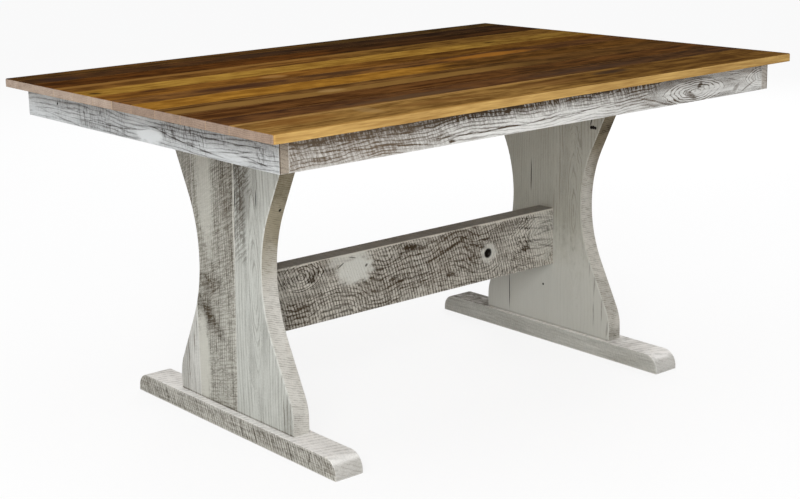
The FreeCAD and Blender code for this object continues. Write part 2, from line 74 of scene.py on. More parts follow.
# ---------------------------------------------------------------- material graphs
# The axes along the grain of a board, across its face and through it.
grain_axes = {"X": (0, 2, 1), "Y": (1, 2, 0), "Z": (2, 1, 0)}


def tone(red, green, blue):
    """An sRGB colour as the linear one that the shaders take."""

    def linear(value):
        share = value / 255
        return share / 12.92 if share <= 0.04045 else ((share + 0.055) / 1.055) ** 2.4

    return (linear(red), linear(green), linear(blue), 1.0)


class Signal:
    """A number that varies over a surface. Signals add, subtract, multiply and divide like plain numbers."""

    def __init__(self, graph, socket):
        self.graph = graph
        self.socket = socket

    def __add__(self, other):
        return self.graph.reckon("ADD", self, other)

    def __sub__(self, other):
        return self.graph.reckon("SUBTRACT", self, other)

    def __rsub__(self, other):
        return self.graph.reckon("SUBTRACT", other, self)

    def __mul__(self, other):
        return self.graph.reckon("MULTIPLY", self, other)

    def __truediv__(self, other):
        return self.graph.reckon("DIVIDE", self, other)

    __radd__ = __add__

    def reach(self):
        """The size of the number without its sign."""
        return self.graph.reckon("ABSOLUTE", self)

    def capped(self):
        """The number held between 0 and 1."""
        return self.graph.reckon("ADD", self, 0.0, clamp=True)

    def rise(self, low, high):
        """0 at low, 1 at high and a smooth change between. It falls where low is the larger."""
        if low > high:
            return 1.0 - self.rise(high, low)
        node = self.graph.node("ShaderNodeMapRange", interpolation_type="SMOOTHSTEP")
        self.graph.feed(node.inputs["Value"], self)
        self.graph.feed(node.inputs["From Min"], low)
        self.graph.feed(node.inputs["From Max"], high)
        return Signal(self.graph, node.outputs["Result"])

    def band(self, low, high, soft):
        """1 between low and high, fading to 0 over soft on each side."""
        return self.rise(low - soft, low + soft) * self.rise(high + soft, high - soft)


class Graph:
    """The node tree of one material, built from signals."""

    def __init__(self, name):
        self.material = bpy.data.materials.new(name)
        self.material.use_nodes = True
        self.tree = self.material.node_tree
        self.tree.nodes.clear()
        coordinates = self.node("ShaderNodeTexCoord")
        self.place = self.parts(coordinates.outputs["Object"])
        self.facing = self.parts(coordinates.outputs["Normal"])

    def along(self, grain):
        """The places along the grain of a board, across its face and through it."""
        return tuple(self.place[axis] for axis in grain_axes[grain])

    def node(self, kind, **settings):
        """A new node with these settings."""
        node = self.tree.nodes.new(kind)
        for name, value in settings.items():
            setattr(node, name, value)
        return node

    def feed(self, socket, value):
        """Puts a signal, a socket or a plain value into a socket."""
        if isinstance(value, Signal):
            value = value.socket
        if isinstance(value, bpy.types.NodeSocket):
            self.tree.links.new(value, socket)
        else:
            socket.default_value = value

    def parts(self, vector):
        """The three numbers of a vector."""
        node = self.node("ShaderNodeSeparateXYZ")
        self.feed(node.inputs[0], vector)
        return tuple(Signal(self, output) for output in node.outputs)

    def vector(self, x, y, z):
        """The vector of three numbers."""
        node = self.node("ShaderNodeCombineXYZ")
        for socket, value in zip(node.inputs, (x, y, z)):
            self.feed(socket, value)
        return node.outputs[0]

    def reckon(self, operation, first, second=None, clamp=False):
        """The result of a sum."""
        node = self.node("ShaderNodeMath", operation=operation, use_clamp=clamp)
        self.feed(node.inputs[0], first)
        if second is not None:
            self.feed(node.inputs[1], second)
        return Signal(self, node.outputs[0])

    def largest(self, signals):
        """The largest of several signals, or None where there are none."""
        most = None
        for signal in signals:
            most = signal if most is None else self.reckon("MAXIMUM", most, signal)
        return most

    def noise(self, place, per_metre, detail, roughness, seed):
        """Noise about 0, mostly between -1 and 1, at so many swells per metre along each of three ways."""
        scaled = [way * count + seed for way, count in zip(place, per_metre)]
        node = self.node("ShaderNodeTexNoise", noise_dimensions="3D")
        self.feed(node.inputs["Vector"], self.vector(*scaled))
        self.feed(node.inputs["Scale"], 1.0)
        self.feed(node.inputs["Detail"], detail)
        self.feed(node.inputs["Roughness"], roughness)
        return (Signal(self, node.outputs[0]) - 0.5) * 4.0

    def wave(self, value):
        """A sine from -1 to 1 that repeats whenever the value grows by 1."""
        return self.reckon("SINE", value * math.tau)

    def mixed(self, share, first, second):
        """A colour between two others."""
        node = self.node("ShaderNodeMix", data_type="RGBA")
        self.feed(node.inputs[0], share)
        self.feed(node.inputs[6], first)
        self.feed(node.inputs[7], second)
        return node.outputs[2]

    def oval(self, u, v, middle, half_sizes, soft, ragged=None, turn=0.0, hollow=False):
        """1 inside an oval on the (u, v) face, fading out at its rim, which a signal can make ragged.

        turn is the angle from u to the oval's first half size, in degrees. A hollow oval is its rim alone.
        """
        cosine = math.cos(math.radians(turn))
        sine = math.sin(math.radians(turn))
        off_u = u - middle[0]
        off_v = v - middle[1]
        along = (off_u * cosine + off_v * sine) / half_sizes[0]
        across = (off_v * cosine - off_u * sine) / half_sizes[1]
        spread = along * along + across * across
        if ragged is not None:
            spread = spread + ragged
        if hollow:
            return spread.band(1 - soft / 2, 1 + soft / 2, soft / 2)
        return spread.rise(1 + soft, 1 - soft)

    def worn_and_highlit_edge(self, radius):
        """1 on the arrises of a piece and 0 on its faces."""
        bevel = self.node("ShaderNodeBevel", samples=6)
        self.feed(bevel.inputs["Radius"], radius)
        geometry = self.node("ShaderNodeNewGeometry")
        dot = self.node("ShaderNodeVectorMath", operation="DOT_PRODUCT")
        self.feed(dot.inputs[0], bevel.outputs[0])
        self.feed(dot.inputs[1], geometry.outputs["Normal"])
        return (1.0 - Signal(self, dot.outputs["Value"])).rise(0.01, 0.12)

    def finish(self, colour, roughness, height, depth, specular=0.3, metallic=0.0):
        """Joins the graph to its shader. Height is from 0 to 1 and depth is what a height of 1 stands for."""
        shader = self.node("ShaderNodeBsdfPrincipled")
        self.feed(shader.inputs["Base Color"], colour)
        self.feed(shader.inputs["Roughness"], roughness)
        shader.inputs["Specular IOR Level"].default_value = specular
        shader.inputs["Metallic"].default_value = metallic
        bump = self.node("ShaderNodeBump")
        self.feed(bump.inputs["Height"], height)
        bump.inputs["Strength"].default_value = 1.0
        bump.inputs["Distance"].default_value = depth
        self.feed(shader.inputs["Normal"], bump.outputs[0])
        output = self.node("ShaderNodeOutputMaterial")
        self.feed(output.inputs["Surface"], shader.outputs[0])
        return self.material


# ---------------------------------------------------------------- marks that boards have
def growth_lines(graph, place, period, wander, knots, seed, sway=2.3):
    """Dark growth lines along the grain, from 0 to 1, and how much a knot rules each place, or None.

    place is (along the grain, across the face, through the board). Each knot is (u, v, reach, squeeze),
    where squeeze is how much longer than wide its rings are. Away from the knots the lines wander, with
    sway bends per metre.
    """
    u, v, w = place
    slow = graph.noise(place, (sway, 3.0, 3.0), 1.0, 0.5, seed)
    quick = graph.noise(place, (13.0, 30.0, 30.0), 3.0, 0.6, seed + 5.0)
    rings = v + w * 0.4 + slow * wander + quick * (wander * 0.18)
    pulls = []
    for knot_u, knot_v, reach, squeeze in knots:
        along = (u - knot_u) / squeeze
        across = v - knot_v
        round_off = graph.reckon("SQRT", along * along + across * across)
        distance = round_off * 0.8 + across.reach() * 0.3 + quick * (reach * 0.07)
        pull = distance.rise(reach, reach * 0.6)
        rings = rings * (1.0 - pull) + (distance * 1.5) * pull
        pulls.append(pull)
    uneven = graph.noise(place, (9.0, 60.0, 60.0), 3.0, 0.6, seed + 6.0)
    broad = (graph.wave(rings / period) + uneven * 0.8).rise(0.25, 1.15)
    thin = (graph.wave(rings / (period * 0.31)) + uneven * 1.1).rise(0.4, 1.5)
    return graph.largest([broad, thin * 0.55]), graph.largest(pulls)


def saw_marks(graph, place, period, slant, bend, turn, middle, even, seed):
    """The scores that a saw leaves across the grain, from 0 to 1.

    They lean by the slant at the middle height, more by the bend away from it, and more by the turn along
    the board. even is from 0, ragged, to 1.
    """
    u, v, w = place
    lean = v - middle
    across = u + lean * (lean * bend + u * turn + slant) + w * 0.1
    way = (across, v, w)
    jitter = graph.noise(way, (0.16 / period, 5.0, 5.0), 1.0, 0.5, seed)
    uneven = graph.noise(way, (0.65 / period, 12.0, 12.0), 2.0, 0.55, seed + 1.0)
    broken = graph.noise(way, (1.1 / period, 60.0, 60.0), 3.0, 0.65, seed + 2.0)
    scratches = graph.noise(way, (1.3 / period, 26.0, 26.0), 2.0, 0.6, seed + 3.0)
    score = (graph.wave(across / period + jitter * 0.3) + broken * 0.7).rise(-0.1, 1.1)
    cuts = (uneven.reach() - broken * 0.06).rise(0.14, 0.01)
    nicks = (scratches.reach() - broken * 0.12).rise(0.2, 0.01)
    return graph.largest([score * even, cuts * (1.0 - even * 0.7), nicks * 0.6])


# ---------------------------------------------------------------- rough-sawn boards with a grey-white wash
wash_depth = 0.0008
wash_specular = 0.12
warm_stain = tone(104, 84, 62)
pit_tone = tone(26, 22, 18)
side_pit_tone = tone(30, 26, 20)
crack_half_width = 0.0014
crack_sway = 0.0015
stroke_sway = 0.003
side_darkening_fade = 0.02
end_rim_fade = 0.002


class Board(Graph):
    """The graph of a washed board, with the noises that its marks share.

    u is the place along its grain, v across its face and w through it.
    """

    def __init__(self, name, grain, seed):
        super().__init__(name)
        self.seed = seed
        self.grained = self.along(grain)
        self.u, self.v, self.w = self.grained
        along, _, through = grain_axes[grain]
        self.face_share = self.facing[through].reach().rise(0.45, 0.75)
        self.end_share = self.facing[along].reach().rise(0.6, 0.85)
        self.strand = self.swells((7.0, 150.0, 150.0), 3.0, 0.6, 1.0)
        self.fibres = self.swells((30.0, 560.0, 560.0), 3.0, 0.65, 2.0)
        self.fine = self.swells((230.0, 360.0, 360.0), 3.0, 0.65, 3.0)
        self.clouds = self.swells((5.0, 11.0, 11.0), 2.0, 0.55, 4.0)
        self.ragged = self.swells((50.0, 75.0, 75.0), 3.0, 0.65, 5.0)
        self.broken = self.swells((40.0, 40.0, 40.0), 2.0, 0.6, 12.0)

    def swells(self, per_metre, detail, roughness, offset):
        """Noise at so many swells per metre along, across and through the board."""
        return self.noise(self.grained, per_metre, detail, roughness, self.seed + offset)

    def saw_places(self, cover, zones):
        """How much of the saw marks is left at each place, or None where they are whole everywhere."""
        found = []
        if cover is not None:
            found.append(self.swells((7.0, 16.0, 16.0), 3.0, 0.65, 8.0).rise(*cover))
        for u_low, u_high, v_low, v_high, fade, strength in zones:
            sway = self.ragged * (fade * 0.6)
            along = (self.u + sway).band(u_low, u_high, fade)
            found.append(along * (self.v + sway).band(v_low, v_high, fade) * strength)
        return self.largest(found)

    def pale_patches(self, ovals):
        """Where the wash covers the marks, and on the far panel's lower part where painted light pales them,
        or None where nothing does.
        """
        found = []
        for u, v, half_u, half_v, turn, strength in ovals:
            patch = self.oval(self.u, self.v, (u, v), (half_u, half_v), 0.7, self.ragged * 0.6, turn)
            found.append(patch * strength)
        return self.largest(found)

    def darkened(self, share, stains_and_shade, arcs, strokes):
        """The share of the dark tone after the stains and painted shade, the arcs and the strokes."""
        for u, v, half_u, half_v, turn, strength in stains_and_shade:
            darkening = self.oval(self.u, self.v, (u, v), (half_u, half_v), 0.98, self.ragged * 0.5, turn)
            share = share + darkening * strength
        for u, v, half_u, half_v, turn, strength in arcs:
            ragged = self.ragged * 0.12 + self.clouds * 0.1
            arc = self.oval(self.u, self.v, (u, v), (half_u, half_v), 0.14, ragged, turn, hollow=True)
            share = share + arc * (self.broken * 0.3 + 0.8).capped() * strength
        if strokes:
            wavy = self.v + self.swells((11.0, 4.0, 4.0), 2.0, 0.5, 13.0) * stroke_sway
        for u, v, half_u, half_v, turn, strength in strokes:
            stroke = self.oval(self.u, wavy, (u, v), (half_u, half_v), 0.9, self.ragged * 0.3, turn)
            share = share + stroke * (self.broken * 0.35 + 0.8).capped() * strength
        return share

    def filmed(self, colour, films):
        """The colour under the thin worn coats."""
        for low_u, high_u, fade, strength, film_tone in films:
            film = (self.u + self.clouds * 0.03).band(low_u, high_u, fade)
            film = film * (self.fine * 0.2 + self.ragged * 0.15 + 1.0) * strength
            colour = self.mixed(film.capped(), colour, film_tone)
        return colour

    def pits(self, holes, cracks):
        """Where the face has holes and cracks, or None where it has neither."""
        found = []
        for u, v, radius in holes:
            found.append(self.oval(self.u, self.v, (u, v), (radius, radius), 0.4, self.ragged * 0.25))
        for u, v, half_length, turn in cracks:
            swayed = self.v + self.swells((14.0, 3.0, 3.0), 2.0, 0.6, 11.0) * crack_sway
            half_sizes = (half_length, crack_half_width)
            found.append(self.oval(self.u, swayed, (u, v), half_sizes, 0.8, None, turn))
        return self.largest(found)

    def narrow_side(self, arris, tones, low_tones, turn, period, saws, base, stains_and_shade, holes):
        """The colour of the narrow sides, and its share of the dark tone."""
        across = self.u + self.w * 0.3 + self.broken * 0.0015
        per_metre = (0.6 / period, 20.0, 60.0)
        score = self.noise((across, self.v, self.w), per_metre, 2.0, 0.6, self.seed + 9.0)
        score = (self.wave(across / period) * 0.6 + score).rise(-0.3, 1.1)
        dark = score * saws + self.fine * 0.12 + self.clouds * 0.16 + base
        # side_stains_and_shade: stains, and painted shade on the curved panel edges and on the far foot's
        # top.
        for low_u, high_u, strength in stains_and_shade:
            darkening = (self.u + self.ragged * 0.012).band(low_u, high_u, side_darkening_fade)
            dark = dark + darkening * (self.ragged * 0.3 + 1.0) * strength
        dark = dark.capped() * (1.0 - arris)
        colour = self.mixed(dark, *tones)
        # The low_tones below side_turn are lighter; on the curved panel edges the darker tones above it are
        # painted shade.
        if low_tones is not None:
            low_share = (self.place[2] + self.clouds * 0.05).rise(*turn)
            colour = self.mixed(low_share, colour, self.mixed(dark, *low_tones))
        for u, w, radius in holes:
            hole = self.oval(self.u, self.w, (u, w), (radius, radius), 0.5, self.ragged * 0.3)
            colour = self.mixed(hole, colour, side_pit_tone)
        return colour, dark

    def end_grain(self, ring_lines, tones, rim):
        """The colour of the sawn ends."""
        speck = self.swells((260.0, 420.0, 420.0), 2.0, 0.65, 10.0)
        dark = ring_lines * 0.25 + speck * 0.22 + self.clouds * 0.15 + 0.35
        if rim is not None:
            dark = dark + self.w.reach().rise(rim, rim + end_rim_fade)
        return self.mixed(dark.capped(), *tones)


def washed_wood(
    name,
    grain,
    light,
    dark,
    seed,
    base=0.1,
    rings=0.5,
    ring_period=0.009,
    ring_wander=0.02,
    ring_sway=2.3,
    knots=(),
    knot_rings=0.0,
    saws=0.6,
    saw_period=0.0085,
    saw_slant=0.3,
    saw_bend=0.0,
    saw_turn=0.0,
    saw_middle=0.0,
    saw_even=0.5,
    saw_cover=None,
    saw_zones=(),
    cloud=0.12,
    grit=1.0,
    pale=(),
    pale_tone=None,
    stains_and_shade=(),
    arcs=(),
    strokes=(),
    marks=(),
    films=(),
    holes=(),
    cracks=(),
    side=None,
    side_low=None,
    side_turn=(0.5, 0.3),
    side_saw=0.0048,
    side_saws=0.3,
    side_base=0.22,
    side_stains_and_shade=(),
    side_holes=(),
    end=None,
    end_rim=None,
    edge=0.6,
    edge_width=0.0028,
    edge_highlight_tone=tone(230, 229, 224),
    warmth=0.25,
):
    """A sawn board with thin worn paint: growth rings and saw marks show dark through a light wash.

    grain names the axis that the grain runs along, and (u, v) are the places along and across it on the
    face. base is the share of the dark tone where there are no marks. rings, saws, cloud and grit say how
    strongly the growth rings, the saw marks, the clouds and the fine fuzz show.

    Growth rings: see growth_lines for knots, and knot_rings is how much darker they are about a knot.
    Saw marks: see saw_marks. saw_cover is the pair of noise levels between which they appear, and saw_zones
    are (u low, u high, v low, v high, fade, strength).
    Ovals: pale, stains_and_shade, arcs and strokes are (u, v, half length, half width, turn, strength).
    pale ones cover the marks and take the pale_tone; on the far panel's lower part they are painted light.
    stains_and_shade darken: stains, and painted shade under the top's overhang and above the feet. arcs are
    the rims of ovals, and strokes are thin wavy ones. A strength below 0 lightens. marks, without a
    strength, are dark ovals over the pale ones.
    films are thin worn coats (u low, u high, fade, strength, colour), holes are (u, v, radius) and cracks
    (u, v, half length, turn).
    Narrow sides: side and side_low are the (light, dark) tones above and below the heights of side_turn,
    side_saw and side_saws the period and strength of their saw marks, side_stains_and_shade (u low, u high,
    strength) darken them with stains and painted shade, and side_holes are (u, place through the board,
    radius).
    Ends: end is their (light, dark) tones and end_rim how far from the table's middle plane their dark rim
    starts.
    Arrises: edge, edge_width and edge_highlight_tone are the strength, width and colour of their painted
    highlight and wear. warmth is how much the dark tone turns brown.
    """
    board = Board(name, grain, seed)
    fine, clouds, broken = board.fine, board.clouds, board.broken

    place = board.grained
    ring_lines, knotted = growth_lines(board, place, ring_period, ring_wander, knots, seed + 6.0, ring_sway)
    ring_share = ring_lines * rings
    if knotted is not None:
        ring_share = ring_share + ring_lines * knotted * knot_rings
    saw_lines = saw_marks(
        board, place, saw_period, saw_slant, saw_bend, saw_turn, saw_middle, saw_even, seed + 7.0
    )
    saw_share = saw_lines * saws
    left = board.saw_places(saw_cover, saw_zones)
    if left is not None:
        saw_share = saw_share * left

    lines = 1.0 - (1.0 - ring_share.capped()) * (1.0 - saw_share)
    fuzz = board.strand * 0.11 + board.fibres * 0.12 + fine * 0.11
    share = lines * (1.0 - base) + fuzz * grit + clouds * cloud + base
    pale_share = board.pale_patches(pale)
    if pale_share is not None:
        share = share * (1.0 - pale_share)
    share = board.darkened(share, stains_and_shade, arcs, strokes)
    # Painted highlight with some wear: the arrises lose their dark marks here, and below they take a light
    # tone.
    arris = board.worn_and_highlit_edge(edge_width) * (fine * 0.35 + 0.75).capped() * edge
    share = (share * (1.0 - arris)).capped()

    warm_share = (clouds * 0.5 + board.fibres * 0.25 + 0.5).capped() * warmth
    colour = board.mixed(share, light, board.mixed(warm_share, dark, warm_stain))
    # On the far panel's lower part the pale tone is painted light.
    if pale_tone is not None:
        pale_share = pale_share * (fine * 0.15 + clouds * 0.15 + 0.75).capped()
        colour = board.mixed(pale_share, colour, pale_tone)
    for u, v, half_u, half_v, turn in marks:
        mark = board.oval(board.u, board.v, (u, v), (half_u, half_v), 0.8, board.ragged * 0.7, turn)
        colour = board.mixed(mark * 0.8, colour, dark)
    colour = board.filmed(colour, films)

    if side is not None:
        side_colour, side_dark = board.narrow_side(
            arris, side, side_low, side_turn, side_saw, side_saws, side_base, side_stains_and_shade, side_holes
        )
        colour = board.mixed(board.face_share, side_colour, colour)
        share = share * board.face_share + side_dark * (1.0 - board.face_share)
    if end is not None:
        colour = board.mixed(board.end_share, colour, board.end_grain(ring_lines, end, end_rim))
    # The arrises take the light edge_highlight_tone: a painted highlight with some wear.
    colour = board.mixed(arris * (broken * 0.3 + 0.7).capped(), colour, edge_highlight_tone)

    height = 0.8 - ring_lines * 0.18 - saw_share * 0.45 + board.fibres * 0.05 + fine * 0.04
    pit = board.pits(holes, cracks)
    if pit is not None:
        colour = board.mixed(pit, colour, pit_tone)
        height = height - pit * 0.7
    return board.finish(colour, 0.72 + share * 0.16, height, wash_depth, wash_specular)


# ---------------------------------------------------------------- varnished planks of the top
varnish_depth = 0.0001
varnish_level = 0.56
strip_fade = 0.004
strip_reach = (0.35, 0.0)
top_rim_x = (0.74, 0.755)
top_rim_y = (0.515, 0.528)
top_arris_width = 0.0022
# The light tone of the top's outer arrises is a painted highlight with some wear.
top_arris_highlight_tone = tone(226, 190, 138)
top_side_tones = (tone(198, 162, 98), tone(134, 98, 52))
top_underside_tones = (tone(176, 146, 106), tone(128, 98, 66))
end_ring_period = 0.0036


def varnished_plank(name, light, dark, far, ends, seed, turn=(-0.1, 0.15), strips=(), patches=()):
    """A stained and varnished plank.

    far is the (light, dark) pair that its tones change to along X over the turn, and ends are the tones of
    its end grain. strips are (y low, y high, strength, colour) and fade out along X over strip_reach.
    patches are (x, y, half length, half width, strength, colour).
    """
    graph = Graph(name)
    x, y, z = graph.place
    facing_x, facing_y, facing_z = graph.facing
    sway = graph.noise(graph.place, (2.2, 6.0, 6.0), 1.0, 0.5, seed) * 0.006
    swayed = (x, y + sway, z)
    broad = graph.noise(swayed, (2.2, 26.0, 26.0), 2.0, 0.5, seed + 1.0)
    middle = graph.noise(swayed, (6.0, 95.0, 95.0), 2.0, 0.55, seed + 2.0)
    fine = graph.noise(swayed, (14.0, 420.0, 300.0), 3.0, 0.6, seed + 3.0)
    pores = graph.noise(swayed, (55.0, 1000.0, 600.0), 2.0, 0.6, seed + 4.0)
    clouds = graph.noise(swayed, (15.0, 42.0, 42.0), 3.0, 0.6, seed + 5.0)
    ragged = graph.noise(swayed, (14.0, 60.0, 60.0), 3.0, 0.65, seed + 6.0)
    flecks = graph.noise(swayed, (24.0, 230.0, 230.0), 2.0, 0.6, seed + 9.0).rise(0.75, 1.3)

    share = broad * 0.34 + middle * 0.4 + fine * 0.3 + clouds * 0.62 + pores.rise(0.5, 1.1) * 0.2
    share = (share + flecks * 0.4 + varnish_level).capped()
    colour = graph.mixed(share, light, dark)
    colour = graph.mixed((x + broad * 0.08).rise(*turn), colour, graph.mixed(share, *far))
    for y_low, y_high, strength, strip_tone in strips:
        strip = (y + ragged * 0.003 + sway).band(y_low, y_high, strip_fade)
        strip = strip * (strength + middle * 0.2).capped() * x.rise(*strip_reach)
        colour = graph.mixed(strip, colour, strip_tone)
    for patch_x, patch_y, half_x, half_y, strength, patch_tone in patches:
        patch = graph.oval(x, y, (patch_x, patch_y), (half_x, half_y), 0.9, ragged * 0.7)
        colour = graph.mixed(patch * strength, colour, patch_tone)

    end_grain = facing_x.reach().rise(0.6, 0.9)
    specks = graph.noise(graph.place, (300.0, 300.0, 300.0), 2.0, 0.6, seed + 7.0)
    curve = graph.noise(graph.place, (0.0, 14.0, 30.0), 1.0, 0.5, seed + 8.0) * 0.004
    end_share = specks * 0.2 + graph.wave((z + curve) / end_ring_period) * 0.13 + clouds * 0.25 + 0.42
    colour = graph.mixed(end_grain, colour, graph.mixed(end_share.capped(), *ends))
    side_grain = facing_y.reach().rise(0.6, 0.9)
    side_share = fine * 0.35 + middle * 0.3 + 0.4
    colour = graph.mixed(side_grain, colour, graph.mixed(side_share.capped(), *top_side_tones))
    rim = graph.largest([x.reach().rise(*top_rim_x), y.reach().rise(*top_rim_y)])
    # A painted highlight with some wear on the top's outer arrises.
    arris = graph.worn_and_highlit_edge(top_arris_width) * (fine * 0.4 + clouds * 0.3 + 0.35).capped() * rim
    colour = graph.mixed(arris, colour, top_arris_highlight_tone)
    bare = facing_z.rise(-0.6, -0.9)
    colour = graph.mixed(bare, colour, graph.mixed(share, *top_underside_tones))

    height = 0.7 + fine * 0.12 - pores.rise(0.5, 1.2) * 0.4
    roughness = 0.34 + share * 0.1 + bare * 0.35 + end_grain * 0.2
    return graph.finish(colour, roughness, height, varnish_depth, specular=0.0)


# ---------------------------------------------------------------- unfinished wood and steel
bare_depth = 0.0004
zinc_depth = 0.0001


def bare_wood(name, grain, light, dark, seed):
    """Planed softwood: even growth lines, a little fuzz and no finish."""
    graph = Graph(name)
    place = graph.along(grain)
    lines, _ = growth_lines(graph, place, 0.0065, 0.012, (), seed)
    fibres = graph.noise(place, (14.0, 420.0, 420.0), 3.0, 0.6, seed + 1.0)
    clouds = graph.noise(place, (3.0, 12.0, 12.0), 2.0, 0.5, seed + 2.0)
    share = (lines * 0.5 + fibres * 0.16 + clouds * 0.18 + 0.2).capped()
    colour = graph.mixed(share, light, dark)
    return graph.finish(colour, 0.72 + share * 0.1, 0.6 + fibres * 0.15, bare_depth)


def zinc_plate(name):
    """Dull zinc plating with a faint spangle and scuffs."""
    graph = Graph(name)
    spangle = graph.noise(graph.place, (700.0, 700.0, 700.0), 2.0, 0.6, 1.0)
    scuffs = graph.noise(graph.place, (90.0, 2600.0, 400.0), 2.0, 0.6, 2.0)
    colour = graph.mixed((spangle * 0.4 + 0.5).capped(), tone(196, 198, 196), tone(150, 152, 150))
    roughness = (0.42 + scuffs * 0.1).capped()
    height = spangle * 0.2 + scuffs * 0.2
    return graph.finish(colour, roughness, height, zinc_depth, specular=0.5, metallic=1.0)


# ---------------------------------------------------------------- finishes of the aprons
def dress(nodes, material):
    """Gives CAD nodes their material."""
    for node in nodes:
        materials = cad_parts[node].data.materials
        materials.clear()
        materials.append(material)


near_end_apron = dict(
    light=tone(207, 210, 210),
    dark=tone(66, 64, 62),
    base=0.17,
    ring_period=0.0095,
    saws=0.85,
    saw_slant=-0.15,
    saw_even=0.2,
    saw_cover=(-0.3, 1.4),
    saw_zones=[
        (0.05, 0.26, 0.66, 0.76, 0.02, 0.8),
        (-0.25, -0.085, 0.7, 0.76, 0.012, 0.9),
        (-0.45, -0.42, 0.7, 0.76, 0.01, 0.8),
        (0.3, 0.37, 0.72, 0.76, 0.01, 0.6),
    ],
    cloud=0.08,
    grit=1.1,
    pale=[(-0.037, 0.706, 0.054, 0.015, 0, 1.0), (-0.33, 0.7, 0.06, 0.01, 0, 0.7)],
    stains_and_shade=[
        (-0.25, 0.735, 0.25, 0.016, 0, 0.18),
        (0.3, 0.735, 0.2, 0.018, 0, 0.1),
        (0.4, 0.715, 0.16, 0.05, 0, -0.09),
        (-0.37, 0.715, 0.15, 0.05, 0, 0.1),
    ],
    strokes=[
        (0.03, 0.712, 0.06, 0.0016, -5, 0.6),
        (-0.037, 0.724, 0.06, 0.0014, 0, 0.5),
        (-0.13, 0.715, 0.07, 0.0016, 7, 0.6),
        (0.16, 0.71, 0.09, 0.0014, 0, 0.5),
        (0.33, 0.7, 0.1, 0.0014, 6, 0.5),
        (-0.24, 0.702, 0.08, 0.0016, 4, 0.5),
        (-0.33, 0.71, 0.08, 0.0014, -6, 0.5),
        (-0.42, 0.704, 0.06, 0.0014, 5, 0.5),
        (-0.28, 0.73, 0.16, 0.0012, 0, 0.45),
        (0.3, 0.724, 0.14, 0.0012, 0, 0.4),
    ],
    holes=[(0.355, 0.731, 0.003)],
    end=(tone(166, 156, 142), tone(74, 62, 48)),
    end_rim=0.7205,
    warmth=0.1,
)
front_apron = dict(
    light=tone(217, 217, 213),
    dark=tone(60, 51, 40),
    base=0.12,
    rings=0.72,
    ring_period=0.0075,
    ring_wander=0.026,
    knots=[(0.455, 0.714, 0.052, 2.8), (0.7, 0.722, 0.045, 1.8)],
    knot_rings=0.25,
    saws=0.9,
    saw_period=0.013,
    saw_slant=0.35,
    saw_middle=0.72,
    saw_cover=(0.3, 1.6),
    saw_zones=[
        (-0.71, -0.3, 0.692, 0.76, 0.008, 0.85),
        (-0.3, 0.33, 0.72, 0.76, 0.01, 1.0),
        (0.665, 0.72, 0.712, 0.76, 0.006, 0.8),
    ],
    grit=1.2,
    pale=[(-0.05, 0.694, 0.36, 0.01, 0, 0.3)],
    stains_and_shade=[
        # The first two ovals are painted shade: a dark band along the apron's top edge, where the top
        # overhangs it.
        (0.0, 0.753, 3.0, 0.017, 0, 0.36),
        (-0.2, 0.745, 0.5, 0.014, 0, 0.17),
        (-0.56, 0.714, 0.26, 0.034, 0, 0.09),
        (-0.6, 0.718, 0.13, 0.03, 0, 0.1),
        (0.05, 0.718, 0.3, 0.03, 0, -0.08),
        (0.56, 0.715, 0.24, 0.05, 0, -0.06),
        (0.6, 0.742, 0.14, 0.02, 0, -0.12),
        (-0.141, 0.739, 0.008, 0.004, 0, 0.9),
        (-0.13, 0.746, 0.03, 0.005, 0, 0.4),
        (-0.297, 0.697, 0.008, 0.003, 0, 0.8),
        (-0.63, 0.706, 0.022, 0.005, -10, 0.35),
        (0.44, 0.706, 0.02, 0.006, -25, 0.6),
        (0.472, 0.726, 0.01, 0.005, 35, 0.7),
        (0.605, 0.706, 0.012, 0.005, 30, 0.5),
        (0.3, 0.7, 0.03, 0.004, -8, 0.4),
    ],
    arcs=[(0.455, 0.714, 0.034, 0.012, 8, 0.5)],
    strokes=[
        (-0.58, 0.716, 0.12, 0.0015, -4, 0.55),
        (-0.43, 0.706, 0.08, 0.0017, -7, 0.7),
        (-0.47, 0.73, 0.14, 0.0012, -2, 0.45),
        (-0.26, 0.706, 0.11, 0.0014, 0, 0.5),
        (-0.16, 0.706, 0.06, 0.0018, 1, 0.7),
        (0.0, 0.71, 0.14, 0.0013, 2, 0.5),
        (0.17, 0.717, 0.13, 0.0014, 3, 0.5),
        (0.33, 0.702, 0.06, 0.002, -14, 0.6),
        (0.59, 0.727, 0.03, 0.0016, -12, 0.5),
        (0.65, 0.704, 0.028, 0.0018, 22, 0.6),
        (0.06, 0.698, 0.04, 0.0013, 4, 0.5),
    ],
    films=[(-0.8, -0.36, 0.12, 0.24, tone(142, 128, 112))],
    warmth=0.45,
)
unseen_apron = dict(light=tone(206, 205, 200), dark=tone(86, 78, 66), base=0.15)
back_apron = dict(knots=[(0.2, 0.715, 0.05, 2.6)], saw_cover=(-0.3, 0.8), saw_slant=-0.2)
far_end_apron = dict(
    knots=[(0.12, 0.72, 0.045, 2.4)],
    saw_cover=(-0.2, 0.8),
    end=(tone(206, 202, 194), tone(104, 94, 82)),
    end_rim=0.7205,
)
dress(["left_apron"], washed_wood("washed_near_end_apron", "Y", seed=11.0, **near_end_apron))
dress(["front_apron"], washed_wood("washed_front_apron", "X", seed=23.0, **front_apron))
dress(["back_apron"], washed_wood("washed_back_apron", "X", seed=31.0, **unseen_apron, **back_apron))
dress(["right_apron"], washed_wood("washed_far_end_apron", "Y", seed=37.0, **unseen_apron, **far_end_apron))

# ---------------------------------------------------------------- finishes of the trestles
# Each piece has three sets of looks: those of both trestles, and those of the near and of the far one alone.
both, near, far = range(3)
trestle_seed_step = 3.0
